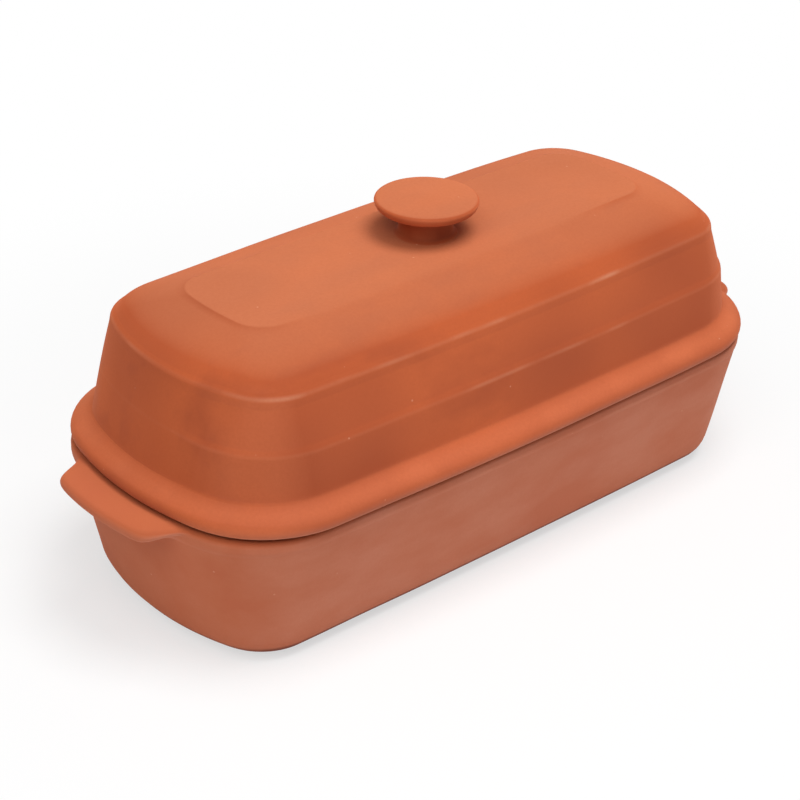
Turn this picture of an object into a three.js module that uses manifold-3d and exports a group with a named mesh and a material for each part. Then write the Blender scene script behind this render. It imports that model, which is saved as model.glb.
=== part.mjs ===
// A terracotta bread baker: a long dish with a lug handle at each end, and a domed lid with a turned knob.
// Millimetres, +Z up. The origin is the centre of the flat foot. X runs along the dish, and -Y is its front.
import * as THREE from "three";
import { mergeVertices } from "three/addons/utils/BufferGeometryUtils.js";
import Module from "manifold-3d";

const wasm = await Module();
wasm.setup();

// Dish
const DISH_LENGTH = 333;
const DISH_WIDTH = 151;
const DISH_HEIGHT = 67;
const DISH_WALL = 7;
const DISH_FLOOR = 8;
const DISH_TAPER = 14.2; // how far the wall leans in from the rim to the foot
const RIM_CORNER = 45; // corner radius in plan
const FOOT_CORNER = 27; // where the wall line meets the foot
const FOOT_ROUND = 13.5;
const INNER_ROUND = 12;
const RIM_BAND = 6; // height of the thickened rim
const RIM_PROUD = 0.9; // how far the rim stands out from the wall
const RIM_ROUND = 2;

// Swell in plan of the long sides and of the ends
const SIDE_BOW = 4.3;
const END_BOW = 19.7;
const FOOT_SIDE_BOW = 1.8;
const FOOT_END_BOW = 15.5;
const PANEL_SIDE_BOW = 1;
const PANEL_END_BOW = 3;

// Handles
const HANDLE_REACH = 15.5; // past the rim
const HANDLE_TIP_WIDTH = 64;
const HANDLE_ROOT_WIDTH = 71;
const HANDLE_TIP_BOW = 4;
const HANDLE_CORNER = 10;
const HANDLE_THICKNESS = 5.5;
const HANDLE_EDGE_ROUND = 2.5;
const HANDLE_RAISE = 0.8; // of the handle's top above the rim

// Lid
const LID_SIDE_OVERHANG = 3.6; // the flange hides the rim on the long sides
const LID_END_SETBACK = 1; // and shows it at the ends
const LID_WALL = 7;
const LID_CROWN = 7.5; // thickness of the top
const LID_CORNER = 50; // corner radius in plan at the flange
const NECK_CORNER = 43; // at the foot of the wall
const LEDGE_CORNER = 25; // at the upper ledge
const PANEL_CORNER = 18; // and at the top panel
const FLANGE_EDGE = 6.2;
const FLANGE_LOWER_ROUND = 2;
const FLANGE_UPPER_ROUND = 3.5;
const NECK_INSET = 8.8;
const NECK_RISE = 12.6; // above the flange's underside
const NECK_ROUND = 6;
const LOWER_LEDGE_INSET = 11.4;
const LOWER_LEDGE_RISE = 32.8;
const LOWER_LEDGE_WIDTH = 1.2;
const UPPER_LEDGE_INSET = 18.4;
const UPPER_LEDGE_RISE = 55.4;
const UPPER_LEDGE_WIDTH = 2;
const LEDGE_FALL = 0.5; // each ledge drains outwards
const LEDGE_ROUND = 1.2;
const SHOULDER_BULGE = 3.4; // of the arc from the upper ledge to the panel
const PANEL_INSET = 50;
const PANEL_RISE = 71; // above the flange's underside
const PANEL_STEP = 0.7;
const PANEL_BEVEL = 1.5;
const LIP_DEPTH = 5; // the lip that keeps the lid in place, inside the rim
const LIP_THICKNESS = 6;
const LIP_ROUND = 2;

// Knob
const KNOB_DIAMETER = 46;
const KNOB_HEIGHT = 18; // from the panel to the top
const KNOB_EDGE = 5; // thickness of the round edge
const KNOB_CROWN = 0.8; // how far the top swells
const KNOB_NECK_DIAMETER = 23;
const KNOB_ROOT_DIAMETER = 27;
const KNOB_ROOT_ROUND = 5;
const KNOB_UNDER_ROUND = 4;
const KNOB_UNDER_FALL = 1.6; // the underside slopes down towards the neck

// Fits
const SEAT_GAP = 0.3; // between the rim and the flange
const LUTE_GAP = 0.3; // between a handle and the wall it is luted to
const LIP_CLEARANCE = 1.5; // between the lip and the rim's inside

// Steps of the curves
const END_STEPS = 3; // in a quarter of the plan
const CORNER_STEPS = 9;
const SIDE_STEPS = 4;
const AROUND = 4 * (END_STEPS + CORNER_STEPS + SIDE_STEPS);
const CORNER_SHARE = 0.9; // the most of a half width that a corner may take
const ROUND_STEPS = 4;
const SHOULDER_STEPS = 7;
const KNOB_STEPS = 40;
const MERGE_TOLERANCE = 1e-3;

const LID_SEAT = DISH_HEIGHT + SEAT_GAP; // height of the flange's underside
const PANEL_TOP = LID_SEAT + PANEL_RISE;

// Plan outlines: a rectangle with bowed sides and round corners, drawn at any inset from its rim.

// A plan has its size at the rim, and a list of insets with the corner radius and the bows there.
function makePlan(length, width, levels) {
  return { halfLength: length / 2, halfWidth: width / 2, levels };
}

// The corner radius, side bow and end bow at an inset, between the two levels beside it.
// Past either end of the list, its end level holds.
function shapeAt({ levels }, inset) {
  const next = levels.findIndex((level) => level.inset > inset);
  const after = levels.at(next);
  const before = next > 0 ? levels[next - 1] : after;
  const share = next > 0 ? (inset - before.inset) / (after.inset - before.inset) : 0;
  const mix = (key) => THREE.MathUtils.lerp(before[key], after[key], share);
  return { corner: mix("corner"), sideBow: mix("sideBow"), endBow: mix("endBow") };
}

const arcRadius = (halfChord, bow) => (halfChord ** 2 + bow ** 2) / (2 * bow);

// The points of an outline, anticlockwise from +X. A corner's arc touches the end's arc and the side's arc.
function outline(plan, inset) {
  const { corner: widest, sideBow, endBow } = shapeAt(plan, inset);
  const halfLength = plan.halfLength - inset;
  const halfWidth = plan.halfWidth - inset;
  const corner = Math.min(widest, halfWidth * CORNER_SHARE);
  const endRadius = arcRadius(halfWidth, endBow);
  const sideRadius = arcRadius(halfLength, sideBow);
  const end = new THREE.Vector2(halfLength - endRadius, 0);
  const side = new THREE.Vector2(0, halfWidth - sideRadius);
  const apart = end.clone().sub(side);
  const distance = apart.length();
  const fromSide = sideRadius - corner;
  const along = (fromSide ** 2 - (endRadius - corner) ** 2 + distance ** 2) / (2 * distance);
  const across = Math.sqrt(fromSide ** 2 - along ** 2);
  const way = apart.divideScalar(distance);
  const centre = new THREE.Vector2(way.y, -way.x).multiplyScalar(across);
  centre.addScaledVector(way, along).add(side);
  const endAngle = centre.clone().sub(end).angle();
  const sideAngle = centre.clone().sub(side).angle();
  const arcs = [
    new THREE.ArcCurve(end.x, end.y, endRadius, 0, endAngle).getPoints(END_STEPS),
    new THREE.ArcCurve(centre.x, centre.y, corner, endAngle, sideAngle).getPoints(CORNER_STEPS),
    new THREE.ArcCurve(side.x, side.y, sideRadius, sideAngle, Math.PI / 2).getPoints(SIDE_STEPS),
  ];
  const quarter = [arcs[0][0], ...arcs.flatMap((arc) => arc.slice(1))];
  const back = [...quarter].reverse();
  const mirrored = (points, x, y) => points.slice(0, -1).map((p) => new THREE.Vector2(x * p.x, y * p.y));
  return [
    ...mirrored(quarter, 1, 1),
    ...mirrored(back, -1, 1),
    ...mirrored(quarter, -1, -1),
    ...mirrored(back, 1, -1),
  ];
}

// Profiles: points of an inset (x) and a height (y), with the corners rounded.

function rounded(corners) {
  return corners.flatMap(([x, y, radius], i) => {
    const at = new THREE.Vector2(x, y);
    if (!radius) return [at];
    const before = new THREE.Vector2(...corners[i - 1]).sub(at);
    const after = new THREE.Vector2(...corners[i + 1]).sub(at);
    const half = Math.abs(before.angleTo(after)) / 2;
    // A round takes no more than half of the shorter side beside it.
    const reach = Math.min(radius / Math.tan(half), before.length() / 2, after.length() / 2);
    const start = at.clone().addScaledVector(before.normalize(), reach);
    const end = at.clone().addScaledVector(after.normalize(), reach);
    return arcBetween(start, end, reach * Math.tan(half), at);
  });
}

// The points of the arc of a radius from one point to another, bulging towards a third.
function arcBetween(start, end, radius, towards) {
  const middle = start.clone().add(end).divideScalar(2);
  const depth = Math.sqrt(Math.max(0, radius ** 2 - start.distanceToSquared(end) / 4));
  const centre = middle.clone().addScaledVector(middle.clone().sub(towards).normalize(), depth);
  const from = start.clone().sub(centre).angle();
  const turn = start.clone().sub(centre).cross(end.clone().sub(centre));
  const sweep = Math.sign(turn) * Math.abs(start.clone().sub(centre).angleTo(end.clone().sub(centre)));
  const angles = Array.from({ length: ROUND_STEPS + 1 }, (_, k) => from + (sweep * k) / ROUND_STEPS);
  return angles.map((a) => new THREE.Vector2(Math.cos(a), Math.sin(a)).multiplyScalar(radius).add(centre));
}

// The points of a shallow curve from one end to the other, which rises by bulge to the left of that way.
function bulged(start, end, bulge, steps) {
  const across = new THREE.Vector2(start.y - end.y, end.x - start.x).normalize();
  const control = start.clone().add(end).divideScalar(2).addScaledVector(across, 2 * bulge);
  return new THREE.QuadraticBezierCurve(start, control, end).getPoints(steps);
}

// A closed body lofted through plan outlines. Each run has a plan and a profile, and the first and last points
// of all lie on the Z axis. A lathe gives the mesh, and its round sections are drawn out to the outlines.
function loft(runs) {
  const sectionsOf = ([plan, profile]) => profile.map((p) => ({ plan, inset: p.x, height: p.y }));
  const sections = runs.flatMap(sectionsOf);
  const onAxis = (j) => j === 0 || j === sections.length - 1;
  const lathed = sections.map(({ height }, j) => new THREE.Vector2(onAxis(j) ? 0 : 1, height));
  const geometry = new THREE.LatheGeometry(lathed, AROUND);
  const position = geometry.getAttribute("position");
  sections.forEach(({ plan, inset, height }, j) => {
    const points = onAxis(j) ? [new THREE.Vector2()] : outline(plan, inset);
    for (let i = 0; i <= AROUND; i += 1) {
      const point = points[i % points.length];
      position.setXYZ(i * sections.length + j, point.x, point.y, height);
    }
  });
  return geometry;
}

// Joining and cutting

function toSolid(geometry) {
  const bare = new THREE.BufferGeometry();
  bare.setAttribute("position", geometry.getAttribute("position"));
  bare.setIndex(geometry.index);
  const merged = mergeVertices(bare, MERGE_TOLERANCE);
  const vertProperties = merged.getAttribute("position").array;
  const triVerts = new Uint32Array(merged.index.array);
  return new wasm.Manifold(new wasm.Mesh({ numProp: 3, vertProperties, triVerts }));
}

function toGeometry(solid) {
  const mesh = solid.getMesh();
  const geometry = new THREE.BufferGeometry();
  geometry.setAttribute("position", new THREE.BufferAttribute(mesh.vertProperties, 3));
  geometry.setIndex(new THREE.BufferAttribute(mesh.triVerts, 1));
  geometry.computeVertexNormals();
  return geometry;
}

const FULL_BOW = { sideBow: SIDE_BOW, endBow: END_BOW };
const FOOT_BOW = { sideBow: FOOT_SIDE_BOW, endBow: FOOT_END_BOW };
const PANEL_BOW = { sideBow: PANEL_SIDE_BOW, endBow: PANEL_END_BOW };

const DISH_PLAN = makePlan(DISH_LENGTH, DISH_WIDTH, [
  { inset: 0, corner: RIM_CORNER, ...FULL_BOW },
  { inset: DISH_TAPER, corner: FOOT_CORNER, ...FOOT_BOW },
  { inset: DISH_TAPER + FOOT_ROUND, corner: FOOT_CORNER - FOOT_ROUND, ...FOOT_BOW },
]);
const LID_PLAN = makePlan(DISH_LENGTH - 2 * LID_END_SETBACK, DISH_WIDTH + 2 * LID_SIDE_OVERHANG, [
  { inset: 0, corner: LID_CORNER, ...FULL_BOW },
  { inset: NECK_INSET, corner: NECK_CORNER, ...FULL_BOW },
  { inset: UPPER_LEDGE_INSET, corner: LEDGE_CORNER, ...FULL_BOW },
  { inset: PANEL_INSET, corner: PANEL_CORNER, ...PANEL_BOW },
]);

// The dish's outside, from the middle of the foot to the foot of the rim, moved out by a gap.
function dishOutside(gap) {
  const rimFoot = DISH_HEIGHT - RIM_BAND;
  return [
    [DISH_PLAN.halfWidth, -gap],
    [DISH_TAPER - gap, -gap, FOOT_ROUND],
    [RIM_PROUD - gap, rimFoot - RIM_PROUD],
    [-gap, rimFoot + RIM_PROUD],
  ];
}

function dishGeometry() {
  const innerFoot = DISH_WALL + DISH_TAPER * (1 - DISH_FLOOR / DISH_HEIGHT);
  const profile = rounded([
    ...dishOutside(0),
    [0, DISH_HEIGHT, RIM_ROUND],
    [DISH_WALL, DISH_HEIGHT, RIM_ROUND],
    [innerFoot, DISH_FLOOR, INNER_ROUND],
    [DISH_PLAN.halfWidth, DISH_FLOOR],
  ]);
  return loft([[DISH_PLAN, profile]]);
}

// A lug with rounded edges, cut to the wall that it is luted to. It points along +X.
function handleGeometry() {
  const rimEnd = DISH_LENGTH / 2;
  const rootX = rimEnd - END_BOW;
  const tipX = rimEnd + HANDLE_REACH;
  const cornerX = tipX - HANDLE_TIP_BOW;
  const tip = HANDLE_TIP_WIDTH / 2;
  const root = HANDLE_ROOT_WIDTH / 2;
  const plan = rounded([
    [rootX, -root],
    [rimEnd, -root, HANDLE_CORNER],
    [cornerX, -tip, HANDLE_CORNER],
    [tipX, 0, arcRadius(tip, HANDLE_TIP_BOW)],
    [cornerX, tip, HANDLE_CORNER],
    [rimEnd, root, HANDLE_CORNER],
    [rootX, root],
  ]);
  const tab = new THREE.ExtrudeGeometry(new THREE.Shape(plan), {
    depth: HANDLE_THICKNESS - 2 * HANDLE_EDGE_ROUND,
    bevelSize: HANDLE_EDGE_ROUND,
    bevelOffset: -HANDLE_EDGE_ROUND,
    bevelThickness: HANDLE_EDGE_ROUND,
    bevelSegments: ROUND_STEPS,
  });
  tab.translate(0, 0, DISH_HEIGHT + HANDLE_RAISE - HANDLE_THICKNESS + HANDLE_EDGE_ROUND);
  const wallTop = DISH_HEIGHT + HANDLE_RAISE + LUTE_GAP;
  const wall = rounded([...dishOutside(LUTE_GAP), [-LUTE_GAP, wallTop], [DISH_PLAN.halfWidth, wallTop]]);
  return toGeometry(toSolid(tab).subtract(toSolid(loft([[DISH_PLAN, wall]]))));
}

function lidGeometry() {
  const ledge = (inset, rise, width) => [
    [inset, LID_SEAT + rise, LEDGE_ROUND],
    [inset + width, LID_SEAT + rise + LEDGE_FALL],
  ];
  const upperLedge = ledge(UPPER_LEDGE_INSET, UPPER_LEDGE_RISE, UPPER_LEDGE_WIDTH);
  const lipOutside = DISH_WALL + LIP_CLEARANCE;
  const lipBottom = LID_SEAT - LIP_DEPTH;
  const shoulderFoot = new THREE.Vector2(...upperLedge[1]);
  const shoulderTop = new THREE.Vector2(PANEL_INSET, PANEL_TOP - PANEL_STEP);
  const shoulder = bulged(shoulderFoot, shoulderTop, SHOULDER_BULGE, SHOULDER_STEPS);
  const ceiling = shoulder.map((p) => new THREE.Vector2(p.x + LID_WALL, p.y - LID_CROWN)).reverse();
  const lip = rounded([
    [lipOutside + LIP_THICKNESS, LID_SEAT],
    [lipOutside + LIP_THICKNESS, lipBottom, LIP_ROUND],
    [lipOutside, lipBottom, LIP_ROUND],
    [lipOutside, LID_SEAT],
  ]);
  const outside = rounded([
    [lipOutside, LID_SEAT],
    [0, LID_SEAT, FLANGE_LOWER_ROUND],
    [0, LID_SEAT + FLANGE_EDGE, FLANGE_UPPER_ROUND],
    [NECK_INSET, LID_SEAT + NECK_RISE, NECK_ROUND],
    ...ledge(LOWER_LEDGE_INSET, LOWER_LEDGE_RISE, LOWER_LEDGE_WIDTH),
    ...upperLedge,
  ]).slice(1);
  const panel = [
    new THREE.Vector2(PANEL_INSET + PANEL_BEVEL, PANEL_TOP),
    new THREE.Vector2(LID_PLAN.halfWidth, PANEL_TOP),
  ];
  const crown = new THREE.Vector2(LID_PLAN.halfWidth, PANEL_TOP - LID_CROWN);
  return loft([
    [LID_PLAN, [crown, ...ceiling]],
    [DISH_PLAN, lip],
    [LID_PLAN, [...outside, ...shoulder.slice(1), ...panel]],
  ]);
}

function knobGeometry() {
  const edge = KNOB_EDGE / 2;
  const top = KNOB_HEIGHT - KNOB_CROWN;
  const under = top - KNOB_EDGE;
  const radius = KNOB_DIAMETER / 2;
  const neck = KNOB_NECK_DIAMETER / 2;
  const profile = rounded([
    [0, 0],
    [KNOB_ROOT_DIAMETER / 2, 0],
    [neck, KNOB_ROOT_ROUND, KNOB_ROOT_ROUND],
    [neck, under - KNOB_UNDER_FALL, KNOB_UNDER_ROUND],
    [radius, under, edge],
    [radius, top, edge],
    [0, KNOB_HEIGHT],
  ]);
  return new THREE.LatheGeometry(profile, KNOB_STEPS).rotateX(Math.PI / 2);
}

const DISH_CLAY = { color: 0xaf674e, roughness: 0.95, metalness: 0 };
const LID_CLAY = { color: 0xbf6440, roughness: 0.9, metalness: 0 };

function piece(name, geometry, clay) {
  const mesh = new THREE.Mesh(geometry, new THREE.MeshStandardMaterial(clay));
  mesh.name = name;
  return mesh;
}

const dish = new THREE.Group();
dish.add(piece("base_dish", dishGeometry(), DISH_CLAY));
const rightHandle = piece("right_handle", handleGeometry(), DISH_CLAY);
const leftHandle = piece("left_handle", handleGeometry(), DISH_CLAY);
leftHandle.rotation.z = Math.PI;
dish.add(rightHandle, leftHandle);

const lid = new THREE.Group();
lid.add(piece("lid_dome", lidGeometry(), LID_CLAY));
const knob = piece("lid_knob", knobGeometry(), LID_CLAY);
knob.position.z = PANEL_TOP;
lid.add(knob);

const breadBaker = new THREE.Group();
breadBaker.add(dish, lid);

export default breadBaker;
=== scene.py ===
"""The looks of a terracotta bread baker, built on its packed CAD model.

Metres, +Z up. The origin is the centre of the flat foot. X runs along the dish, and -Y is its front.
"""

import math
from collections import namedtuple

import bmesh
import bpy
import numpy as np
from bpy.props import FloatProperty, FloatVectorProperty, PointerProperty
from bpy.types import Operator, Panel, PropertyGroup
from mathutils import Color, Matrix, Vector
from mathutils.geometry import interpolate_bezier, intersect_sphere_sphere_2d
from mathutils.noise import noise_vector, seed_set


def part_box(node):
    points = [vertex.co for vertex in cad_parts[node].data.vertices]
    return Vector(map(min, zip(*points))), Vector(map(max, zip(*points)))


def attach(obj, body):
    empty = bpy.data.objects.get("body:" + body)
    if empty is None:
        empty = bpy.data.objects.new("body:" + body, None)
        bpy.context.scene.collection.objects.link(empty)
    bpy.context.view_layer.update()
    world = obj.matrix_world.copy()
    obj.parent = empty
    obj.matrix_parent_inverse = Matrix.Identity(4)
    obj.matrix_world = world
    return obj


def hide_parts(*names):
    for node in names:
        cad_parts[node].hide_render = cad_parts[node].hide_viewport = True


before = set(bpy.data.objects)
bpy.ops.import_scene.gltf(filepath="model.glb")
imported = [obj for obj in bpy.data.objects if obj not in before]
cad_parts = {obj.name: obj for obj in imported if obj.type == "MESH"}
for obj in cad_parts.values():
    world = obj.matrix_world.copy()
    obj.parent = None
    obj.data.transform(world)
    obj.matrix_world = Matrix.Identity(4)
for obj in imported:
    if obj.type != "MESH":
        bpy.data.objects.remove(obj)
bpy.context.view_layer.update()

bl_info = {
    "name": "Bread Baker",
    "version": (1, 0, 0),
    "blender": (4, 5, 0),
    "location": "3D View > Sidebar > Baker",
    "description": "Builds a terracotta bread baker, its lid and its knob on their CAD frame",
    "category": "Add Mesh",
}

MM = 0.001
TINY = 1e-7  # metres, within which two places are the same

# Sizes read from the frame
DISH_LOW, DISH_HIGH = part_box("base_dish")
LUG_LOW, LUG_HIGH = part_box("right_handle")
LID_LOW, LID_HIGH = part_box("lid_dome")
KNOB_LOW, KNOB_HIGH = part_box("lid_knob")

# Corner radii and swell of the plan outlines, from the rim inwards
RIM_CORNER = 45 * MM
FOOT_CORNER = 27 * MM
FLANGE_CORNER = 50 * MM
NECK_CORNER = 43 * MM
LEDGE_CORNER = 25 * MM
PANEL_CORNER = 14 * MM
SIDE_BOW = 4.3 * MM
END_BOW = 19.7 * MM
FOOT_SIDE_BOW = 1.8 * MM
FOOT_END_BOW = 15.5 * MM
PANEL_SIDE_BOW = 1 * MM
PANEL_END_BOW = 3 * MM
DISH_FLAT_INSET = 30 * MM  # the floor and the foot are flat inside this
LID_FLAT_INSET = 58 * MM  # and so are the top panel and the ceiling inside this
CORNER_SHARE = 0.9  # the most of a half width that a corner may take

# Steps of the mesh
END_STEPS = 26  # in a quarter of the plan
CORNER_STEPS = 14
SIDE_STEPS = 12
QUARTER_STEPS = END_STEPS + CORNER_STEPS + SIDE_STEPS
END_CROWDING = 0.6  # below 1 it draws the steps of an end together at the sides of the lug
ROUND_STEPS = 8
SHOULDER_STEPS = 14
KNOB_STEPS = 96
WALL_STEP = 4 * MM
RIM_STEP = 0.3 * MM

# The curve of the lid's shoulder
SHOULDER_TURN = 0.25  # where it turns down most, as a share of the way from its ledge to the panel
SHOULDER_TAUT = 0.82  # how far the curve's handles reach to that turn
CURVE_SWELL = 0.75  # how far a curve swells out, as a share of how far its handles reach out

# What pressing by hand has left uneven
PANEL_SHIFT = 2.5 * MM  # how far to the left of the middle the panel lies
STEP_RUN_IN = 12 * MM  # how far into the panel its step is evened out
# Where along the front the panel's step fades, is gone, starts and is whole
STEP_ENDS = (-112 * MM, -92 * MM, 60 * MM, 90 * MM)
# Degrees round from the left end's middle where the lower ledge fades, is gone, starts and is whole
LEDGE_ENDS = (-32, -8, 66, 80)
RUN_OUT = (0, 1, 1, 0)  # how far the step or the ledge has run out at those four places
PRESS_SPACING = 45 * MM  # between the places where the clay is pressed in or out
PRESS_DEPTH = 0.5 * MM
PRESS_SEED = 1  # 0 would take the time of day

# How much of the rim's height and top is pulled out into a lug's underside and top
LUG_UNDER_RUN = 2.4 * MM
LUG_TOP_RUN = 1.5 * MM
LUG_EASE = 0.4  # the share of a lug's top that falls to the rim

KNOB_ROUNDED_OFF = 1.9 * MM  # what the rounding of the knob's edge takes off its diameter

# Spacing and depth of the clay's marks. Spacings are in millimetres.
FIRING_PATCH = 120
FIRING_SHIFT = (0, -45 * MM, 0)  # where the patches lie
MOTTLE = 24
MOTTLE_STREAK = 2  # how many times longer than high its marks are
LUMP = 26
LUMP_DEPTH = 0.35 * MM
GRIT = 1.3
GRIT_DEPTH = 0.05 * MM
SPECK_SPACING = 13
SPECK_SIZE = 0.6
SPECK_CORE = 0.5  # the share of a speck that is full
NOISE_ROUGHNESS = 0.55  # how much of each finer layer the patterns have

# Where a mark starts and is full, on the pattern or the facing that it follows, and how strong it is there
FIRED = {"From Min": 0.42, "From Max": 0.62, "To Max": 0.8}
MOTTLED = {"From Min": 0.42, "From Max": 0.7, "To Max": 0.65}
UPRIGHT = {"From Min": 0.75, "From Max": 0.15}
SIDEWAYS = {"From Min": 0.3, "From Max": 0.9, "To Min": 1, "To Max": 0.4}
DRAWN_OUT = {"From Min": 0.35, "From Max": 0.65}
BLOOM_LEFT = 0.4  # the share of the bloom that dark mottling keeps
FACING_UP = {"From Min": 0.8, "From Max": 1}
ON_CORNERS = {"From Min": 0.2, "From Max": 0.45}
UNEVEN = {"From Min": 0.5, "From Max": 0.7}
SPECKED = {
    "From Min": SPECK_SIZE / SPECK_SPACING,
    "From Max": SPECK_CORE * SPECK_SIZE / SPECK_SPACING,
    "To Max": 0.5,
}
GRITTY = {"From Min": 0.3, "From Max": 0.7, "To Max": 0.12}

# The matt surface, which is a little closer in the dark mottling
CLOSER = {"From Min": 0.3, "From Max": 0.7, "To Min": 0.95, "To Max": 0.82}
CHALKY = {"Diffuse Roughness": 0.6, "Specular IOR Level": 0.3}

# Bands round the pieces
LEDGE_REACH = 1.3 * MM  # how far a rubbed ledge shows above and below it
FOOT_SHADE_HEIGHT = 5.5 * MM  # how high up the foot a shadow is painted
FOOT_SHADE_REACH = 8 * MM  # and where that ends
NECK_SHADE_MIDDLE = 5.2 * MM  # middle of the shade painted round the knob's neck, above the panel
NECK_SHADE_HOLD = 3.5 * MM  # how far from there the shade is painted in full
NECK_SHADE_REACH = 5 * MM  # and where that ends

# Stage, in metres
FLOOR_REACH = 4  # from the middle to a side
# How white the camera sees the floor, from the object outwards
FLOOR_WHITE = {"From Min": 0.1, "From Max": 0.4, "To Min": 0.6, "To Max": 1}
LAMP_AIM = Vector((0, 0, 0.08))
OVERHEAD_PLACE = Vector((0.1, -0.36, 1.5))
OVERHEAD_SIDE = 0.8
FRONT_PLACE = Vector((-0.82, -0.51, 1.28))
FRONT_SIDE = 1

# Sockets of a colour mix
MIX_SHARE = 0
MIX_UNDER = 6
MIX_OVER = 7


def size(name, description, default):
    """A length that a user may change."""
    return FloatProperty(name=name, description=description, default=default, min=0, unit="LENGTH")


def angle(name, description, degrees):
    """An angle that a user may change."""
    return FloatProperty(name=name, description=description, default=math.radians(degrees), unit="ROTATION")


def power(name, description, watts):
    """A lamp's power that a user may change."""
    return FloatProperty(name=name, description=description, default=watts, min=0, unit="POWER")


def tint(name, description, default):
    """A colour that a user may change, from an sRGB hex value."""
    return FloatVectorProperty(
        name=name, description=description, default=linear(default), size=3, min=0, max=1, subtype="COLOR"
    )


def linear(hex_value):
    """The linear red, green and blue of an sRGB hex value."""
    channels = [int(hex_value[start : start + 2], 16) / 255 for start in (0, 2, 4)]
    return tuple(Color(channels).from_srgb_to_scene_linear())


class DishSettings(PropertyGroup):
    """Sizes of the dish and its two lugs"""

    length: size("Length", "Over the rim, without the lugs", DISH_HIGH.x - DISH_LOW.x)
    width: size("Width", "Over the rim", DISH_HIGH.y - DISH_LOW.y)
    height: size("Height", "From the foot to the rim", DISH_HIGH.z)
    wall: size("Wall", "Thickness of the wall at the rim", 7 * MM)
    floor: size("Floor", "Thickness of the floor", 8 * MM)
    taper: size("Taper", "How far the wall leans in from the rim to the foot", 14.2 * MM)
    foot_round: size("Foot round", "Radius outside, where the wall meets the foot", 13.5 * MM)
    inner_round: size("Inner round", "Radius inside, where the wall meets the floor", 12 * MM)
    rim_band: size("Rim band", "Height of the thickened rim", 6 * MM)
    rim_proud: size("Rim proud", "How far the rim stands out from the wall", 0.9 * MM)
    rim_round: size("Rim round", "Radius of the rim's outer edge", 3.6 * MM)
    rim_inner_round: size("Rim inner round", "Radius of the rim's inner edge", 1.5 * MM)
    band_round: size("Band round", "Radius at the lower edge of the rim band", 4 * MM)
    lug_reach: size("Lug reach", "How far a lug stands out from the rim", LUG_HIGH.x - DISH_HIGH.x)
    lug_width: size("Lug width", "Across a lug, half way out", 67 * MM)
    lug_softness: size("Lug softness", "How gently a lug's sides run into the rim", 1.7 * MM)
    lug_thickness: size("Lug thickness", "From a lug's underside to its top", LUG_HIGH.z - LUG_LOW.z)
    lug_raise: size("Lug raise", "A lug's top above the rim", LUG_HIGH.z - DISH_HIGH.z)
    lug_edge: size("Lug edge", "Depth of a lug's round edge", 2.5 * MM)
    lug_fillet: size("Lug fillet", "Radius under a lug, where it meets the wall", 3 * MM)


class LidSettings(PropertyGroup):
    """Sizes of the lid"""

    length: size("Length", "Over the flange", LID_HIGH.x - LID_LOW.x)
    width: size("Width", "Over the flange", LID_HIGH.y - LID_LOW.y)
    top: size("Top", "Height of the top panel above the foot of the dish", LID_HIGH.z)
    wall: size("Wall", "Thickness of the wall", 7 * MM)
    crown: size("Crown", "Thickness of the top", 7.5 * MM)
    flange_edge: size("Flange edge", "Height of the flange's edge", 6.2 * MM)
    undercut: size("Undercut", "How far the flange's underside rises outwards", 1.7 * MM)
    undercut_inset: size("Undercut inset", "From the flange's edge to where its underside rises", 6 * MM)
    flange_lower_round: size("Flange lower round", "Radius of the flange's lower edge", 2.6 * MM)
    flange_upper_round: size("Flange upper round", "Radius of the flange's upper edge", 5.5 * MM)
    neck_inset: size("Neck inset", "From the flange's edge to the foot of the wall", 8.8 * MM)
    neck_rise: size("Neck rise", "From the flange's underside to the foot of the wall", 12.6 * MM)
    neck_round: size("Neck round", "Radius at the foot of the wall", 2 * MM)
    lower_ledge_inset: size("Lower ledge inset", "From the flange's edge to the lower ledge", 11.4 * MM)
    lower_ledge_rise: size("Lower ledge rise", "From the flange's underside to the lower ledge", 32.8 * MM)
    lower_ledge_width: size("Lower ledge width", "How deep the lower ledge is", 1.6 * MM)
    lower_ledge_fall: size("Lower ledge fall", "How far the lower ledge slopes down outwards", 2.6 * MM)
    lower_ledge_round: size("Lower ledge round", "Radius of the lower ledge's edges", 5 * MM)
    crease_drop: size("Crease drop", "From the upper ledge down to the crease under it", 4 * MM)
    crease_depth: size("Crease depth", "How far the wall is pressed in at the crease", 0.5 * MM)
    crease_round: size("Crease round", "Radius of the crease", 6 * MM)
    upper_ledge_inset: size("Upper ledge inset", "From the flange's edge to the upper ledge", 18.4 * MM)
    upper_ledge_rise: size("Upper ledge rise", "From the flange's underside to the upper ledge", 55.4 * MM)
    upper_ledge_width: size("Upper ledge width", "How deep the upper ledge is", 2.4 * MM)
    upper_ledge_fall: size("Upper ledge fall", "How far the upper ledge slopes down outwards", 1.9 * MM)
    upper_ledge_round: size("Upper ledge round", "Radius of the upper ledge's edges", 3.4 * MM)
    shoulder_bulge: size("Shoulder bulge", "Swell from the upper ledge to the panel", 2.2 * MM)
    panel_inset: size("Panel inset", "From the flange's edge to the top panel", 48.5 * MM)
    panel_step: size("Panel step", "How far the top panel is raised", 0.9 * MM)
    panel_bevel: size("Panel bevel", "Width of the raised panel's sloping edge", 1.5 * MM)
    lip_depth: size("Lip depth", "How far the lip reaches into the dish", 5 * MM)
    lip_thickness: size("Lip thickness", "Thickness of the lip", 6 * MM)
    lip_round: size("Lip round", "Radius of the lip's edges", 2 * MM)
    lip_clearance: size("Lip clearance", "Between the lip and the inside of the rim", 1.5 * MM)


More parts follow.
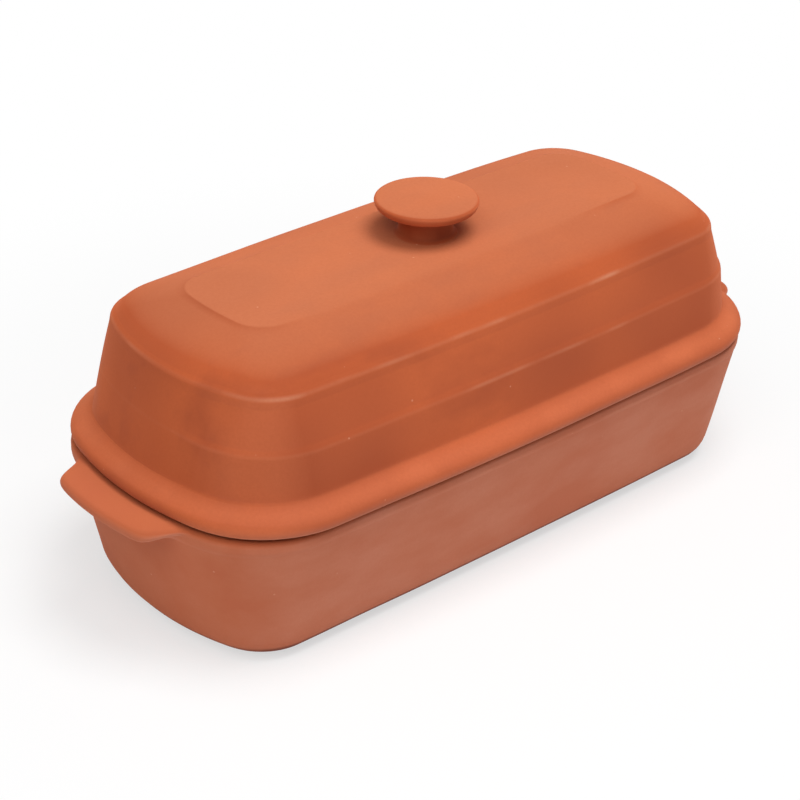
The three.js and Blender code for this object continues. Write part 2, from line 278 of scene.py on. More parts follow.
class KnobSettings(PropertyGroup):
    """Sizes of the knob"""

    diameter: size(
        "Diameter", "Over the edge, before it is rounded", KNOB_HIGH.x - KNOB_LOW.x + KNOB_ROUNDED_OFF
    )
    height: size("Height", "From the top panel to the top", KNOB_HIGH.z - KNOB_LOW.z)
    edge: size("Edge", "Height of the edge", 4.4 * MM)
    edge_lean: size("Edge lean", "How far the edge leans in at its foot", 2.2 * MM)
    edge_round: size("Edge round", "Radius at the foot of the edge", 3 * MM)
    top_round: size("Top round", "Radius of the top's edge", 1.6 * MM)
    crown: size("Crown", "How far the top swells", 1.6 * MM)
    neck_diameter: size("Neck diameter", "Of the neck", 24.5 * MM)
    root_round: size("Root round", "Radius where the neck meets the lid", 3 * MM)
    root_sink: size("Root sink", "How deep the root is set into the lid", 0.4 * MM)
    under_round: size("Under round", "Radius where the neck meets the disc", 4 * MM)
    under_fall: size("Under fall", "How far the disc's underside slopes down to the neck", 1.6 * MM)


class ClaySettings(PropertyGroup):
    """Colours of the fired clay"""

    lid_body: tint("Lid body", "Fired clay of the lid", "C86235")
    lid_deep: tint("Lid deep", "Darker patches of the lid", "AA4E2B")
    dish_body: tint("Dish body", "Fired clay of the dish", "C56941")
    dish_deep: tint("Dish deep", "Darker patches of the dish", "C26440")
    bloom: tint("Bloom", "Pale lime drawn out by the fire", "D3886C")
    # Paler where it faces up: dust, and a painted sheen of the light from above
    dust_and_sheen: tint("Dust and sheen", "Dust on what faces up", "D08058")
    # Paler flange and corners: rubbed by hands, and a painted highlight where they face the light
    rubbed_and_highlit: tint("Rubbed and highlit", "The flange and the corners, where hands hold them", "D6744A")
    # Painted shade for where shadow falls: the seam under the flange, the knob's neck under its disc, and the
    # foot's edge
    painted_shade: tint("Painted shade", "The seam under the flange, the knob's neck and the edge of the foot", "6E3324")
    # Grains of lime; on the ledges and the rim band it is also a painted highlight
    speck_and_highlight: tint("Speck and highlight", "Grains of lime, and the colour of rubbed edges", "E0A583")


class StageSettings(PropertyGroup):
    """Floor, light and camera"""

    floor_colour: tint("Floor colour", "Of the pale floor", "FAFAFA")
    key_power: power("Key power", "Of the overhead lamp", 15.6)
    fill_power: power("Fill power", "Of the front lamp", 7.3)
    sky: FloatProperty(name="Sky", description="Strength of the light all round", default=0.21, min=0)
    azimuth: angle("Azimuth", "Of the camera, from the front", -42.2)
    elevation: angle("Elevation", "Of the camera", 29.52)
    roll: angle("Roll", "Of the camera", 1.44)
    distance: size("Distance", "From the camera to what it looks at", 997.26 * MM)
    target: FloatVectorProperty(
        name="Target",
        description="What the camera looks at",
        default=(-23.15 * MM, -11.5 * MM, 66.55 * MM),
        subtype="TRANSLATION",
        unit="LENGTH",
    )
    lens: FloatProperty(name="Lens", description="Focal length", default=100.65, min=1, unit="CAMERA")


# Plan outlines: a rectangle with bowed sides and round corners, drawn at any inset from its rim

Plan = namedtuple("Plan", "half_length half_width insets corners side_bows end_bows")


def dish_plan(dish):
    """The outlines of the dish, from its rim in to the flat of its foot."""
    foot_edge = dish.taper + dish.foot_round
    return Plan(
        half_length=dish.length / 2,
        half_width=dish.width / 2,
        insets=(0, dish.taper, foot_edge, DISH_FLAT_INSET),
        corners=(RIM_CORNER, FOOT_CORNER, FOOT_CORNER - dish.foot_round, FOOT_CORNER - dish.foot_round),
        side_bows=(SIDE_BOW, FOOT_SIDE_BOW, FOOT_SIDE_BOW, FOOT_SIDE_BOW),
        end_bows=(END_BOW, FOOT_END_BOW, FOOT_END_BOW, FOOT_END_BOW),
    )


def lid_plan(lid):
    """The outlines of the lid, from its flange in to the flat of its panel."""
    return Plan(
        half_length=lid.length / 2,
        half_width=lid.width / 2,
        insets=(0, lid.neck_inset, lid.upper_ledge_inset, lid.panel_inset, LID_FLAT_INSET),
        corners=(FLANGE_CORNER, NECK_CORNER, LEDGE_CORNER, PANEL_CORNER, PANEL_CORNER),
        side_bows=(SIDE_BOW, SIDE_BOW, SIDE_BOW, PANEL_SIDE_BOW, PANEL_SIDE_BOW),
        end_bows=(END_BOW, END_BOW, END_BOW, PANEL_END_BOW, PANEL_END_BOW),
    )


def arc_radius(half_chord, bow):
    """The radius of an arc that bows so far out over its chord."""
    return (half_chord**2 + bow**2) / (2 * bow)


def on_arc(centre, radius, start, end, share):
    """A point at a share of the way from one angle to another."""
    turn = start + (end - start) * share
    return centre + Vector((math.cos(turn), math.sin(turn))) * radius


def outline_point(plan, half_width, share):
    """A point on the outline of a half width, at a share of the way from the end's middle to the side's."""
    inset = plan.half_width - half_width
    level = min(inset, plan.insets[-1])
    side = plan.half_width - level
    end = plan.half_length - level
    widest = np.interp(level, plan.insets, plan.corners)
    corner = min(widest, side * CORNER_SHARE)
    end_radius = arc_radius(side, np.interp(level, plan.insets, plan.end_bows))
    side_radius = arc_radius(end, np.interp(level, plan.insets, plan.side_bows))
    end_centre = Vector((end - end_radius, 0))
    side_centre = Vector((0, side - side_radius))
    # A corner's arc touches the end's arc and the side's arc.
    crossings = intersect_sphere_sphere_2d(end_centre, end_radius - corner, side_centre, side_radius - corner)
    corner_centre = max(crossings, key=lambda point: point.x + point.y)
    end_angle = math.atan2(*(corner_centre - end_centre).yx)
    side_angle = math.atan2(*(corner_centre - side_centre).yx)
    step = share * QUARTER_STEPS
    if step <= END_STEPS:
        point = on_arc(end_centre, end_radius, 0, end_angle, (step / END_STEPS) ** END_CROWDING)
    elif step <= END_STEPS + CORNER_STEPS:
        point = on_arc(corner_centre, corner, end_angle, side_angle, (step - END_STEPS) / CORNER_STEPS)
    else:
        point = on_arc(side_centre, side_radius, math.pi / 2, side_angle, (QUARTER_STEPS - step) / SIDE_STEPS)
    return point * (half_width / side)  # inside its last level, the outline only shrinks


# Shells: the section across the middle is spun, and its rings are drawn out to the plan


def section(corners):
    """A wire through corners of a half width, a height and a radius, with the corners rounded."""
    bm = bmesh.new()
    verts = [bm.verts.new((x, 0, z)) for x, z, _ in corners]
    for pair in zip(verts, verts[1:]):
        bm.edges.new(pair)
    points = [vert.co.copy() for vert in verts]
    for i, (_, _, radius) in enumerate(corners):
        if not radius:
            continue
        before = points[i - 1] - points[i]
        after = points[i + 1] - points[i]
        reach = radius / math.tan(before.angle(after) / 2)
        bmesh.ops.bevel(
            bm,
            geom=[verts[i]],
            offset=min(reach, before.length / 2, after.length / 2),
            offset_type="OFFSET",
            segments=ROUND_STEPS,
            profile=0.5,
            affect="VERTICES",
            material=-1,
        )
    bmesh.ops.remove_doubles(bm, verts=bm.verts, dist=TINY)
    return bm


def cut_edges(bm, edges, step):
    """Cuts each edge into pieces no longer than a step."""
    for edge in edges:
        cuts = math.ceil(edge.calc_length() / step) - 1
        if cuts:
            bmesh.ops.subdivide_edges(bm, edges=[edge], cuts=cuts)


def spin(bm, steps):
    """Spins a wire round the Z axis into a closed shape."""
    bmesh.ops.spin(
        bm,
        geom=bm.verts[:] + bm.edges[:],
        cent=(0, 0, 0),
        axis=(0, 0, 1),
        angle=2 * math.pi,
        steps=steps,
        use_merge=True,
    )
    bmesh.ops.remove_doubles(bm, verts=bm.verts, dist=TINY)


def draw_out(bm, place):
    """Moves each point of a spun shape to its place in plan, and returns the half width that it came from."""
    half_widths = {}
    for vert in bm.verts:
        half_widths[vert] = vert.co.xy.length
        if half_widths[vert] > TINY:
            share = math.atan2(abs(vert.co.y), abs(vert.co.x)) / (math.pi / 2)
            point = place(half_widths[vert], vert.co.z, share)
            vert.co.x = math.copysign(point.x, vert.co.x)
            vert.co.y = math.copysign(point.y, vert.co.y)
    return half_widths


def press_by_hand(bm, foot, top):
    """Moves a wall a little to and fro, as in hand-pressed clay. Its foot and its top keep their heights."""
    seed_set(PRESS_SEED)
    for vert in bm.verts:
        push = noise_vector(vert.co / PRESS_SPACING) * PRESS_DEPTH
        share = min(max((vert.co.z - foot) / (top - foot), 0), 1)
        push.z *= math.sin(math.pi * share)
        vert.co += push


def add_object(name, data):
    """Adds an object to the scene, in place of an earlier one of its name."""
    if name in bpy.data.objects:
        bpy.data.objects.remove(bpy.data.objects[name])
    made = bpy.data.objects.new(name, data)
    bpy.context.scene.collection.objects.link(made)
    return made


def add_piece(name, bm, material, body, nodes):
    """Makes an object that rides on a body and stands for CAD nodes."""
    bmesh.ops.recalc_face_normals(bm, faces=bm.faces)
    mesh = bpy.data.meshes.new(name)
    bm.to_mesh(mesh)
    bm.free()
    mesh.shade_smooth()
    mesh.materials.append(material)
    piece = add_object(name, mesh)
    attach(piece, body)
    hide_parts(*nodes)


# Dish


def dish_section(dish):
    """The wire from the middle of the foot, over the rim, to the middle of the floor."""
    half = dish.width / 2
    band = dish.height - dish.rim_band
    inner_foot = dish.wall + dish.taper * (1 - dish.floor / dish.height)
    return section(
        [
            (0, 0, 0),
            (half - dish.taper, 0, dish.foot_round),
            (half - dish.rim_proud, band - dish.rim_proud, dish.band_round),
            (half, band + dish.rim_proud, dish.band_round),
            (half, dish.height, dish.rim_round),
            (half - dish.rim_round - LUG_TOP_RUN, dish.height, 0),
            (half - dish.wall, dish.height, dish.rim_inner_round),
            (half - inner_foot, dish.floor, dish.inner_round),
            (0, dish.floor, 0),
        ]
    )


def lug_section(dish, inset, height):
    """Where a point of the rim lies on a lug: how far out, how high, and how deep in the edge."""
    band = dish.height - dish.rim_band + dish.rim_proud
    fillet_foot = band - dish.lug_fillet
    if inset > dish.rim_round + LUG_TOP_RUN + TINY or height < fillet_foot:
        return -inset, height, 0
    if height < band:  # the fillet under the lug
        rise = (height - fillet_foot) / dish.lug_fillet
        return dish.lug_fillet * (1 - math.sqrt(1 - rise**2)) - inset, height, dish.lug_edge
    top = dish.height + dish.lug_raise
    under = top - dish.lug_thickness
    edge_start = dish.lug_reach - dish.lug_edge
    edge_end = dish.height - band + dish.rim_round
    climb = height - band + inset
    if climb < LUG_UNDER_RUN:  # its underside
        share = climb / LUG_UNDER_RUN
        out = dish.lug_fillet + (edge_start - dish.lug_fillet) * share
        return out, band + (under - band) * share, dish.lug_edge
    if climb < edge_end:  # its round edge
        turn = math.pi * ((climb - LUG_UNDER_RUN) / (edge_end - LUG_UNDER_RUN) - 0.5)
        depth = dish.lug_edge * (1 - math.cos(turn))
        return dish.lug_reach - depth, (top + under + dish.lug_thickness * math.sin(turn)) / 2, depth
    # Its top, which falls softly to the rim
    share = (climb - edge_end) / LUG_TOP_RUN
    out = edge_start - (edge_start + dish.rim_round + LUG_TOP_RUN) * share
    fall = max(0, (share - 1 + LUG_EASE) / LUG_EASE)
    return out, top - dish.lug_raise * fall**2 * (3 - 2 * fall), dish.lug_edge


def pull_lugs(half_widths, dish):
    """Pulls the rim out at both ends into the lugs."""
    for vert, half_width in half_widths.items():
        inset = dish.width / 2 - half_width
        out, height, depth = lug_section(dish, inset, vert.co.z)
        past_side = abs(vert.co.y) - dish.lug_width / 2 + depth
        pull = 1 / (1 + math.exp(past_side / dish.lug_softness))
        vert.co.x += math.copysign(pull * (out + inset), vert.co.x)
        vert.co.z += pull * (height - vert.co.z)


class BAKER_OT_dish(Operator):
    """Make the dish, whose rim is pulled out into two lugs"""

    bl_idname = "baker.dish"
    bl_label = "Dish"

    def execute(self, context):
        dish = context.scene.baker_dish
        plan = dish_plan(dish)
        bm = dish_section(dish)
        cut_edges(bm, bm.edges[:], WALL_STEP)
        rim_inside = dish.width / 2 - dish.rim_round - LUG_TOP_RUN - TINY
        rim_low = dish.height - dish.rim_band - dish.lug_fillet
        on_rim = {vert for vert in bm.verts if vert.co.x > rim_inside and vert.co.z > rim_low}
        cut_edges(bm, [edge for edge in bm.edges if on_rim.issuperset(edge.verts)], RIM_STEP)
        spin(bm, 4 * QUARTER_STEPS)
        half_widths = draw_out(bm, lambda half_width, height, share: outline_point(plan, half_width, share))
        pull_lugs(half_widths, dish)
        press_by_hand(bm, 0, dish.height)
        material = dish_clay(context.scene.baker_clay, dish)
        add_piece("dish", bm, material, "base", ["base_dish", "left_handle", "right_handle"])
        return {"FINISHED"}


# Lid


def lid_seat(lid):
    """The height of the flange's underside, which rests on the rim."""
    return LID_LOW.z + lid.lip_depth


def lip_sides(lid, dish):
    """The half widths of the lip's inside and outside."""
    outside = dish.width / 2 - dish.wall - lid.lip_clearance
    return outside - lid.lip_thickness, outside


def wall_corners(lid):
    """The corners of the lid's wall, from its foot up to the back of its upper ledge."""
    edge = Vector((lid.width / 2, lid_seat(lid)))
    foot = edge + Vector((-lid.neck_inset, lid.neck_rise))
    lower = edge + Vector((-lid.lower_ledge_inset, lid.lower_ledge_rise))
    upper = edge + Vector((-lid.upper_ledge_inset, lid.upper_ledge_rise))
    lower_back = lower + Vector((-lid.lower_ledge_width, lid.lower_ledge_fall))
    upper_back = upper + Vector((-lid.upper_ledge_width, lid.upper_ledge_fall))
    drop_share = lid.crease_drop / (upper.y - lower_back.y)
    crease = upper.lerp(lower_back, drop_share) - Vector((lid.crease_depth, 0))
    return foot, lower, lower_back, crease, upper, upper_back


def lid_section(lid, dish):
    """The wire from the middle of the ceiling, round the lip and the flange, to the middle of the top."""
    half = lid.width / 2
    lip_bottom = LID_LOW.z
    seat = lid_seat(lid)
    lip_inside, lip_outside = lip_sides(lid, dish)
    foot, lower, lower_back, crease, upper, upper_back = wall_corners(lid)
    panel_edge = Vector((half - lid.panel_inset, lid.top - lid.panel_step))
    across = (panel_edge - upper_back).orthogonal().normalized()
    handle_reach = lid.shoulder_bulge / (CURVE_SWELL * SHOULDER_TAUT)
    swell = upper_back.lerp(panel_edge, SHOULDER_TURN) - across * handle_reach
    shoulder = interpolate_bezier(
        upper_back,
        upper_back.lerp(swell, SHOULDER_TAUT),
        panel_edge.lerp(swell, SHOULDER_TAUT),
        panel_edge,
        SHOULDER_STEPS,
    )
    ceiling = [(point.x - lid.wall, point.y - lid.crown, 0) for point in reversed(shoulder)]
    return section(
        [
            (0, lid.top - lid.crown, 0),
            *ceiling,
            (lip_inside, seat, 0),
            (lip_inside, lip_bottom, lid.lip_round),
            (lip_outside, lip_bottom, lid.lip_round),
            (lip_outside, seat, 0),
            (half - lid.undercut_inset, seat, 0),
            (half, seat + lid.undercut, lid.flange_lower_round),
            (half, seat + lid.flange_edge, lid.flange_upper_round),
            (*foot, lid.neck_round),
            (*lower, lid.lower_ledge_round),
            (*lower_back, lid.lower_ledge_round),
            (*crease, lid.crease_round),
            (*upper, lid.upper_ledge_round),
            (*upper_back, lid.upper_ledge_round),
            *((*point, 0) for point in shoulder[1:]),
            (half - lid.panel_inset - lid.panel_bevel, lid.top, lid.panel_bevel),
            (0, lid.top, 0),
        ]
    )


def lid_placing(lid, dish):
    """How the spun lid is placed in plan: its lip follows the dish, and the rest the lid's own plan."""
    own_plan = lid_plan(lid)
    lip_plan = dish_plan(dish)
    seat = lid_seat(lid)
    inner_top = seat + lid.upper_ledge_rise + lid.upper_ledge_fall - lid.crown
    lip_inside, lip_outside = lip_sides(lid, dish)

    def place(half_width, height, share):
        in_lip = half_width < lip_outside + TINY and height < seat + TINY
        if half_width < lip_inside + TINY:
            own = min(max((height - seat) / (inner_top - seat), 0), 1)
        else:
            own = 0 if in_lip else 1
        of_lid = outline_point(own_plan, half_width, share)
        return of_lid if own == 1 else outline_point(lip_plan, half_width, share).lerp(of_lid, own)

    return place


def run_out_ledge(bm, lid):
    """Lets the lower ledge of the spun lid run out round the left end, where the wall is even."""
    foot, _, _, crease, _, _ = wall_corners(lid)
    for vert in bm.verts:
        half_width = vert.co.xy.length
        even = np.interp(vert.co.z, (foot.y, crease.y), (foot.x, crease.x))
        if foot.y < vert.co.z < crease.y and abs(half_width - even) < lid.wall / 2:
            turn = math.degrees(math.atan2(vert.co.y, -vert.co.x))
            share = np.interp(turn, LEDGE_ENDS, RUN_OUT)
            vert.co.xy *= float(1 + share * (even / half_width - 1))


def shift_panel(half_widths, lid):
    """Moves the panel to the left of the middle, and the shoulder round it less and less out to the ledge."""
    half = lid.width / 2
    reach = (half - lid.panel_inset, half - lid.upper_ledge_inset)
    for vert, half_width in half_widths.items():
        vert.co.x -= np.interp(half_width, reach, (PANEL_SHIFT, 0))


def run_out_step(half_widths, lid):
    """Lets the panel's step run out along the front, where the panel falls softly to the shoulder."""
    edge = lid.width / 2 - lid.panel_inset
    for vert, half_width in half_widths.items():
        if vert.co.y > 0 or vert.co.z < lid.top - lid.crown / 2 or half_width > edge + TINY:
            continue
        inwards = min((edge - half_width) / STEP_RUN_IN, 1)
        soft_height = lid.top - lid.panel_step * (1 - inwards) ** 2
        vert.co.z += (soft_height - vert.co.z) * np.interp(vert.co.x, STEP_ENDS, RUN_OUT)


class BAKER_OT_lid(Operator):
    """Make the lid, with its flange, its two ledges and its raised panel"""

    bl_idname = "baker.lid"
    bl_label = "Lid"

    def execute(self, context):
        lid = context.scene.baker_lid
        dish = context.scene.baker_dish
        bm = lid_section(lid, dish)
        cut_edges(bm, bm.edges[:], WALL_STEP)
        spin(bm, 4 * QUARTER_STEPS)
        run_out_ledge(bm, lid)
        half_widths = draw_out(bm, lid_placing(lid, dish))
        shift_panel(half_widths, lid)
        run_out_step(half_widths, lid)
        press_by_hand(bm, lid_seat(lid), lid.top)
        material = lid_clay(context.scene.baker_clay, lid)
        add_piece("lid", bm, material, "lid", ["lid_dome"])
        return {"FINISHED"}


# Knob


class BAKER_OT_knob(Operator):
    """Make the turned knob, whose root runs into the lid's top panel"""

    bl_idname = "baker.knob"
    bl_label = "Knob"

    def execute(self, context):
        knob = context.scene.baker_knob
        lid = context.scene.baker_lid
        neck = knob.neck_diameter / 2
        radius = knob.diameter / 2
        top = lid.top + knob.height - knob.crown
        under = top - knob.edge
        root = neck + 2 * knob.root_round
        bottom = lid.top - 2 * knob.root_sink
        bm = section(
            [
                (0, bottom, 0),
                (root, bottom, 0),
                (root, lid.top - knob.root_sink, 0),
                (neck, lid.top, knob.root_round),
                (neck, under - knob.under_fall, knob.under_round),
                (radius - knob.edge_lean, under, knob.edge_round),
                (radius, top, knob.top_round),
                (0, top + knob.crown, 0),
            ]
        )
        cut_edges(bm, bm.edges[:], WALL_STEP)
        spin(bm, KNOB_STEPS)
        material = lid_clay(context.scene.baker_clay, lid)
        add_piece("knob", bm, material, "lid", ["lid_knob"])
        return {"FINISHED"}


# Clay


def made_once(blocks, name, *kind):
    """The datablock of a name, which is made where there is none."""
    return blocks.get(name) or blocks.new(name, *kind)


def empty_tree(owner):
    """The node tree of a material or a world, cleared."""
    owner.use_nodes = True
    owner.node_tree.nodes.clear()
    return owner.node_tree


def add_node(tree, kind, inputs=None, **settings):
    """Adds a node with its settings. An input takes a value, a socket, or a node's first output in use."""
    made = tree.nodes.new(kind)
    for name, value in settings.items():
        setattr(made, name, value)
    for key, value in (inputs or {}).items():
        if isinstance(value, bpy.types.Node):
            value = next(output for output in value.outputs if output.enabled)
        if isinstance(value, bpy.types.NodeSocket):
            tree.links.new(value, made.inputs[key])
        else:
            made.inputs[key].default_value = value
    return made


def per_metre(millimetres):
    """The scale of a pattern whose marks are so many millimetres apart."""
    return 1 / (millimetres * MM)


# A band round a piece: its height, how far up and down from there it is whole and where it ends, the least
# and the most that shows of it, and its colour
Band = namedtuple("Band", "height hold reach least most colour")


def terracotta(name, body, deep, clay, bloom, dust_and_sheen, corner_rub_and_highlight, bands):
    """Unglazed terracotta, pressed in a mould and fired.

    The fire leaves darker patches and drives lime out as a pale bloom on the long walls. Dust and a painted
    sheen pale what faces up, rubbing and a painted highlight pale the corners, and grains of lime show as
    pale specks. The bands it is given add painted shade and painted highlights as well. It is matt, with
    the soft lumps of hand-pressed clay. Its grit is about half a millimetre, and is drawn coarser here so
    that it shows.
    """
    material = made_once(bpy.data.materials, name)
    tree = empty_tree(material)
    coords = add_node(tree, "ShaderNodeTexCoord")
    place = coords.outputs["Object"]
    height = add_node(tree, "ShaderNodeSeparateXYZ", {0: place}).outputs["Z"]
    facing = add_node(tree, "ShaderNodeSeparateXYZ", {0: coords.outputs["Normal"]})
    in_fire = add_node(tree, "ShaderNodeMapping", {"Vector": place, "Location": FIRING_SHIFT})
    wiped = add_node(tree, "ShaderNodeMapping", {"Vector": place, "Scale": (1 / MOTTLE_STREAK, 1, 1)})
    patches, mottle, lumps, grit = (
        add_node(
            tree,
            "ShaderNodeTexNoise",
            {"Vector": vector, "Scale": per_metre(spacing), "Detail": detail, "Roughness": NOISE_ROUGHNESS},
        )
        for vector, spacing, detail in (
            (in_fire, FIRING_PATCH, 2),
            (wiped, MOTTLE, 3),
            (place, LUMP, 1),
            (place, GRIT, 2),
        )
    )
    specks = add_node(tree, "ShaderNodeTexVoronoi", {"Vector": place, "Scale": per_metre(SPECK_SPACING)})
    coats = []  # from the lowest up, how much shows of each and its colour

    # Darker patches of the fired body
    fired = add_node(tree, "ShaderNodeMapRange", {"Value": patches, **FIRED})
    mottled = add_node(tree, "ShaderNodeMapRange", {"Value": mottle, **MOTTLED})
    share = add_node(tree, "ShaderNodeMath", {0: fired, 1: mottled}, operation="MAXIMUM")
    coats.append((share, deep))

    # Bloom on upright walls, less of it at the ends
    upright = add_node(tree, "ShaderNodeMapRange", {"Value": facing.outputs["Z"], **UPRIGHT})
    endways = add_node(tree, "ShaderNodeMath", {0: facing.outputs["X"]}, operation="ABSOLUTE")
    sideways = add_node(tree, "ShaderNodeMapRange", {"Value": endways, **SIDEWAYS})
    drawn_out = add_node(
        tree,
        "ShaderNodeMapRange",
        {"Value": mottle, **DRAWN_OUT, "To Min": bloom, "To Max": BLOOM_LEFT * bloom},
    )
    share = add_node(tree, "ShaderNodeMath", {0: upright, 1: sideways}, operation="MULTIPLY")
    share = add_node(tree, "ShaderNodeMath", {0: share, 1: drawn_out}, operation="MULTIPLY")
    coats.append((share, clay.bloom))

    # Dust on what faces up, with a painted sheen
    share = add_node(tree, "ShaderNodeMapRange", {"Value": facing.outputs["Z"], **FACING_UP, "To Max": dust_and_sheen})
    coats.append((share, clay.dust_and_sheen))

    # Corners that hands have rubbed paler, with a painted highlight on them
    corner = add_node(
        tree, "ShaderNodeMath", {0: facing.outputs["X"], 1: facing.outputs["Y"]}, operation="MULTIPLY"
    )
    corner = add_node(tree, "ShaderNodeMath", {0: corner}, operation="ABSOLUTE")
    share = add_node(tree, "ShaderNodeMapRange", {"Value": corner, **ON_CORNERS, "To Max": corner_rub_and_highlight})
    coats.append((share, clay.rubbed_and_highlit))

    # Bands that handling or the fire has changed, and bands of painted highlight and painted shade, unevenly,
    # and less at the ends
    for band in bands:
        away = add_node(tree, "ShaderNodeMath", {0: height, 1: band.height}, operation="SUBTRACT")
        away = add_node(tree, "ShaderNodeMath", {0: away}, operation="ABSOLUTE")
        near = add_node(
            tree,
            "ShaderNodeMapRange",
            {"Value": away, "From Min": band.reach, "From Max": band.hold},
            interpolation_type="SMOOTHSTEP",
        )
        uneven = add_node(
            tree,
            "ShaderNodeMapRange",
            {"Value": lumps, **UNEVEN, "To Min": band.least, "To Max": band.most},
        )
        share = add_node(tree, "ShaderNodeMath", {0: near, 1: uneven}, operation="MULTIPLY")
        share = add_node(tree, "ShaderNodeMath", {0: share, 1: sideways}, operation="MULTIPLY")
        coats.append((share, band.colour))

    # Grains of lime, and the grit
    share = add_node(tree, "ShaderNodeMapRange", {"Value": specks.outputs["Distance"], **SPECKED})
    coats.append((share, clay.speck_and_highlight))
    share = add_node(tree, "ShaderNodeMapRange", {"Value": grit, **GRITTY})
    coats.append((share, deep))

    colour = (*body, 1)
    for share, over in coats:
        colour = add_node(
            tree,
            "ShaderNodeMix",
            {MIX_SHARE: share, MIX_UNDER: colour, MIX_OVER: (*over, 1)},
            data_type="RGBA",
        )

    # Lumps and grit on the matt surface
    roughness = add_node(tree, "ShaderNodeMapRange", {"Value": mottle, **CLOSER})
    pressed = add_node(tree, "ShaderNodeBump", {"Strength": 1, "Distance": LUMP_DEPTH, "Height": lumps})
    gritty = add_node(
        tree, "ShaderNodeBump", {"Strength": 1, "Distance": GRIT_DEPTH, "Height": grit, "Normal": pressed}
    )
    surface = add_node(
        tree,
        "ShaderNodeBsdfPrincipled",
        {"Base Color": colour, "Roughness": roughness, **CHALKY, "Normal": gritty},
    )
    add_node(tree, "ShaderNodeOutputMaterial", {"Surface": surface})
    return material


def lid_clay(clay, lid):
    """The lid's terracotta, deep in colour, with dust and a painted sheen on its top, ledges and corners
    rubbed pale under painted highlights, and painted shade in the seam and round the knob's neck.
    """
    seat = lid_seat(lid)
    flange_top = seat + (lid.flange_edge + lid.neck_rise) / 2
    bands = (
        # The ledges, rubbed pale, with a painted highlight along them
        Band(seat + lid.lower_ledge_rise, 0, LEDGE_REACH, least=0.05, most=0.2, colour=clay.speck_and_highlight),
        Band(seat + lid.upper_ledge_rise, 0, LEDGE_REACH, least=0.1, most=0.5, colour=clay.speck_and_highlight),
        # The flange's top, rubbed pale, with a painted highlight
        Band(flange_top, 0, lid.flange_edge, least=0.8, most=1, colour=clay.rubbed_and_highlit),
        # The flange's lower edge, paled in the bloom's colour: partly bloom, partly painted light from the
        # floor
        Band(seat, 0, lid.flange_edge, least=0.8, most=0.9, colour=clay.bloom),
        # Painted shade in the seam under the flange
        Band(seat, lid.undercut / 2, lid.undercut, least=1, most=1, colour=clay.painted_shade),
        # Painted shade round the knob's neck, under its disc
        Band(lid.top + NECK_SHADE_MIDDLE, NECK_SHADE_HOLD, NECK_SHADE_REACH, least=0.3, most=0.4, colour=clay.painted_shade),
    )
    return terracotta(
        "lid_terracotta", clay.lid_body, clay.lid_deep, clay, bloom=0.06, dust_and_sheen=0.6, corner_rub_and_highlight=0.5, bands=bands
    )


def dish_clay(clay, dish):
    """The dish's terracotta, paler under its bloom, with painted shadow along the edge of its foot and a
    painted highlight under its rim band.
    """
    band_foot = dish.height - dish.rim_band + dish.rim_proud
    bands = (
        # A painted highlight along the lower edge of the rim band
        Band(band_foot, 0, LEDGE_REACH, least=0, most=0.12, colour=clay.speck_and_highlight),
        # Painted shadow along the edge of the foot, where it meets the floor
        Band(0, FOOT_SHADE_HEIGHT, FOOT_SHADE_REACH, least=0.9, most=1, colour=clay.painted_shade),
    )
    return terracotta(
        "dish_terracotta", clay.dish_body, clay.dish_deep, clay, bloom=0.85, dust_and_sheen=0.1, corner_rub_and_highlight=0, bands=bands
    )


# Stage


class BAKER_OT_stage(Operator):
    """Make the floor, the lamps, the white surroundings and the camera"""

    bl_idname = "baker.stage"
    bl_label = "Stage"

    def execute(self, context):
        stage = context.scene.baker_stage
        add_floor(stage)
        add_lamp("overhead_lamp", stage.key_power, OVERHEAD_SIDE, OVERHEAD_PLACE)
        add_lamp("front_lamp", stage.fill_power, FRONT_SIDE, FRONT_PLACE)
        add_sky(context.scene, stage.sky)
        add_camera(context.scene, stage)
        context.scene.view_settings.view_transform = "Standard"
        return {"FINISHED"}


def seen_or_mirrored(tree):
    """1 where the camera looks at a surface, straight or by way of gloss or glass, and 0 for other light."""
    path = add_node(tree, "ShaderNodeLightPath")
    share = path.outputs["Is Camera Ray"]
    for ray in ("Is Glossy Ray", "Is Transmission Ray"):
        share = add_node(tree, "ShaderNodeMath", {0: share, 1: path.outputs[ray]}, operation="MAXIMUM")
    return share


def add_floor(stage):
    """A floor of white paper, without gloss. It gives the eye a clean ground with a faint shadow."""
    bm = bmesh.new()
    bmesh.ops.create_grid(bm, x_segments=1, y_segments=1, size=FLOOR_REACH)
    mesh = bpy.data.meshes.new("floor")
    bm.to_mesh(mesh)
    bm.free()
    material = made_once(bpy.data.materials, "white_paper")
    tree = empty_tree(material)
    paper = add_node(tree, "ShaderNodeBsdfDiffuse", {"Color": (*stage.floor_colour, 1)})
    white = add_node(tree, "ShaderNodeEmission", {"Strength": 1})
    coords = add_node(tree, "ShaderNodeTexCoord")
    away = add_node(tree, "ShaderNodeVectorMath", {0: coords.outputs["Object"]}, operation="LENGTH")
    share = add_node(
        tree,
        "ShaderNodeMapRange",
        {"Value": away.outputs["Value"], **FLOOR_WHITE},
        interpolation_type="SMOOTHSTEP",
    )
    share = add_node(tree, "ShaderNodeMath", {0: seen_or_mirrored(tree), 1: share}, operation="MULTIPLY")
    mix = add_node(tree, "ShaderNodeMixShader", {0: share, 1: paper, 2: white})
    add_node(tree, "ShaderNodeOutputMaterial", {"Surface": mix})
    mesh.materials.append(material)
    floor = add_object("floor", mesh)


def add_lamp(name, watts, side, place):
    """A square lamp that shines at the middle of the object."""
    data = made_once(bpy.data.lights, name, "AREA")
    data.energy = watts
    data.size = side
    lamp = add_object(name, data)
    lamp.location = place
    lamp.rotation_euler = (place - LAMP_AIM).to_track_quat("Z", "Y").to_euler()


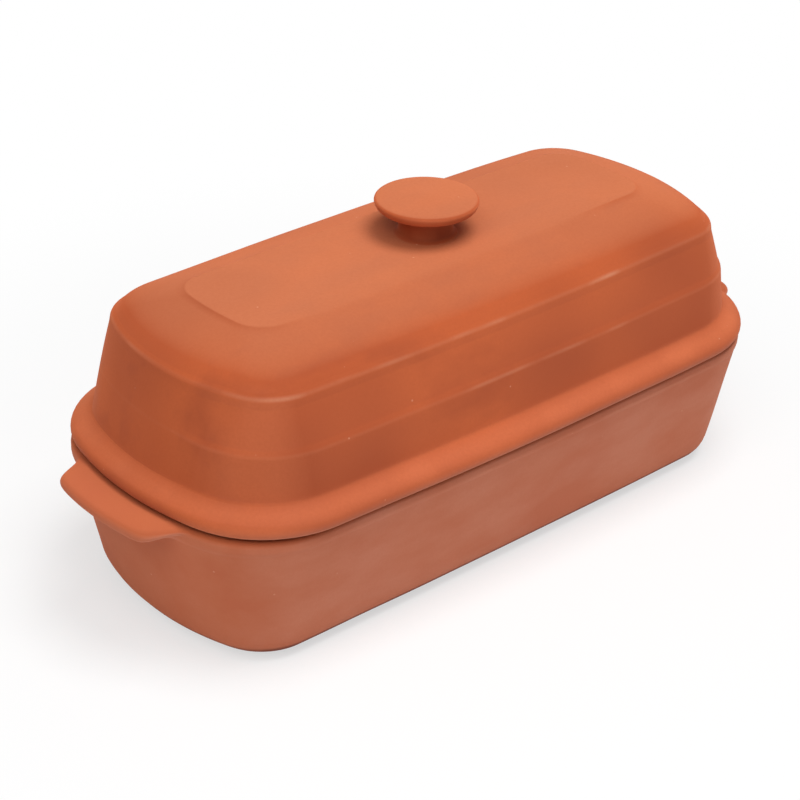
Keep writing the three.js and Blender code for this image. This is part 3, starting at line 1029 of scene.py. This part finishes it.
def add_sky(scene, strength):
    """Plain light all round, which the camera sees as white."""
    scene.world = made_once(bpy.data.worlds, "studio")
    tree = empty_tree(scene.world)
    light = add_node(tree, "ShaderNodeBackground", {"Color": (1, 1, 1, 1), "Strength": strength})
    white = add_node(tree, "ShaderNodeBackground", {"Color": (1, 1, 1, 1), "Strength": 1})
    mix = add_node(tree, "ShaderNodeMixShader", {0: seen_or_mirrored(tree), 1: light, 2: white})
    add_node(tree, "ShaderNodeOutputWorld", {"Surface": mix})


def add_camera(scene, stage):
    """A camera at the photograph's angle."""
    data = made_once(bpy.data.cameras, "camera")
    data.lens = stage.lens
    camera = add_object("camera", data)
    turn = Matrix.Rotation(stage.azimuth, 4, "Z") @ Matrix.Rotation(math.pi / 2 - stage.elevation, 4, "X")
    aim = turn @ Matrix.Rotation(stage.roll, 4, "Z")
    back = turn.to_3x3() @ Vector((0, 0, stage.distance))
    camera.matrix_world = Matrix.Translation(Vector(stage.target) + back) @ aim
    scene.camera = camera


class BAKER_PT_panel(Panel):
    """Lists the pieces and their settings"""

    bl_label = "Bread Baker"
    bl_idname = "BAKER_PT_panel"
    bl_space_type = "VIEW_3D"
    bl_region_type = "UI"
    bl_category = "Baker"

    def draw(self, context):
        for operator in OPERATORS:
            self.layout.operator(operator.bl_idname)
        for settings, group in SETTINGS.items():
            box = self.layout.box()
            box.label(text=group.__doc__)
            for name in group.__annotations__:
                box.prop(getattr(context.scene, settings), name)


SETTINGS = {
    "baker_dish": DishSettings,
    "baker_lid": LidSettings,
    "baker_knob": KnobSettings,
    "baker_clay": ClaySettings,
    "baker_stage": StageSettings,
}
OPERATORS = (BAKER_OT_dish, BAKER_OT_lid, BAKER_OT_knob, BAKER_OT_stage)
CLASSES = (*SETTINGS.values(), *OPERATORS, BAKER_PT_panel)


def register():
    for cls in CLASSES:
        bpy.utils.register_class(cls)
    for name, group in SETTINGS.items():
        setattr(bpy.types.Scene, name, PointerProperty(type=group))


def unregister():
    for name in SETTINGS:
        delattr(bpy.types.Scene, name)
    for cls in reversed(CLASSES):
        bpy.utils.unregister_class(cls)


def main():
    register()
    bpy.ops.baker.dish()
    bpy.ops.baker.lid()
    bpy.ops.baker.knob()
    bpy.ops.baker.stage()


if __name__ == "__main__":
    main()
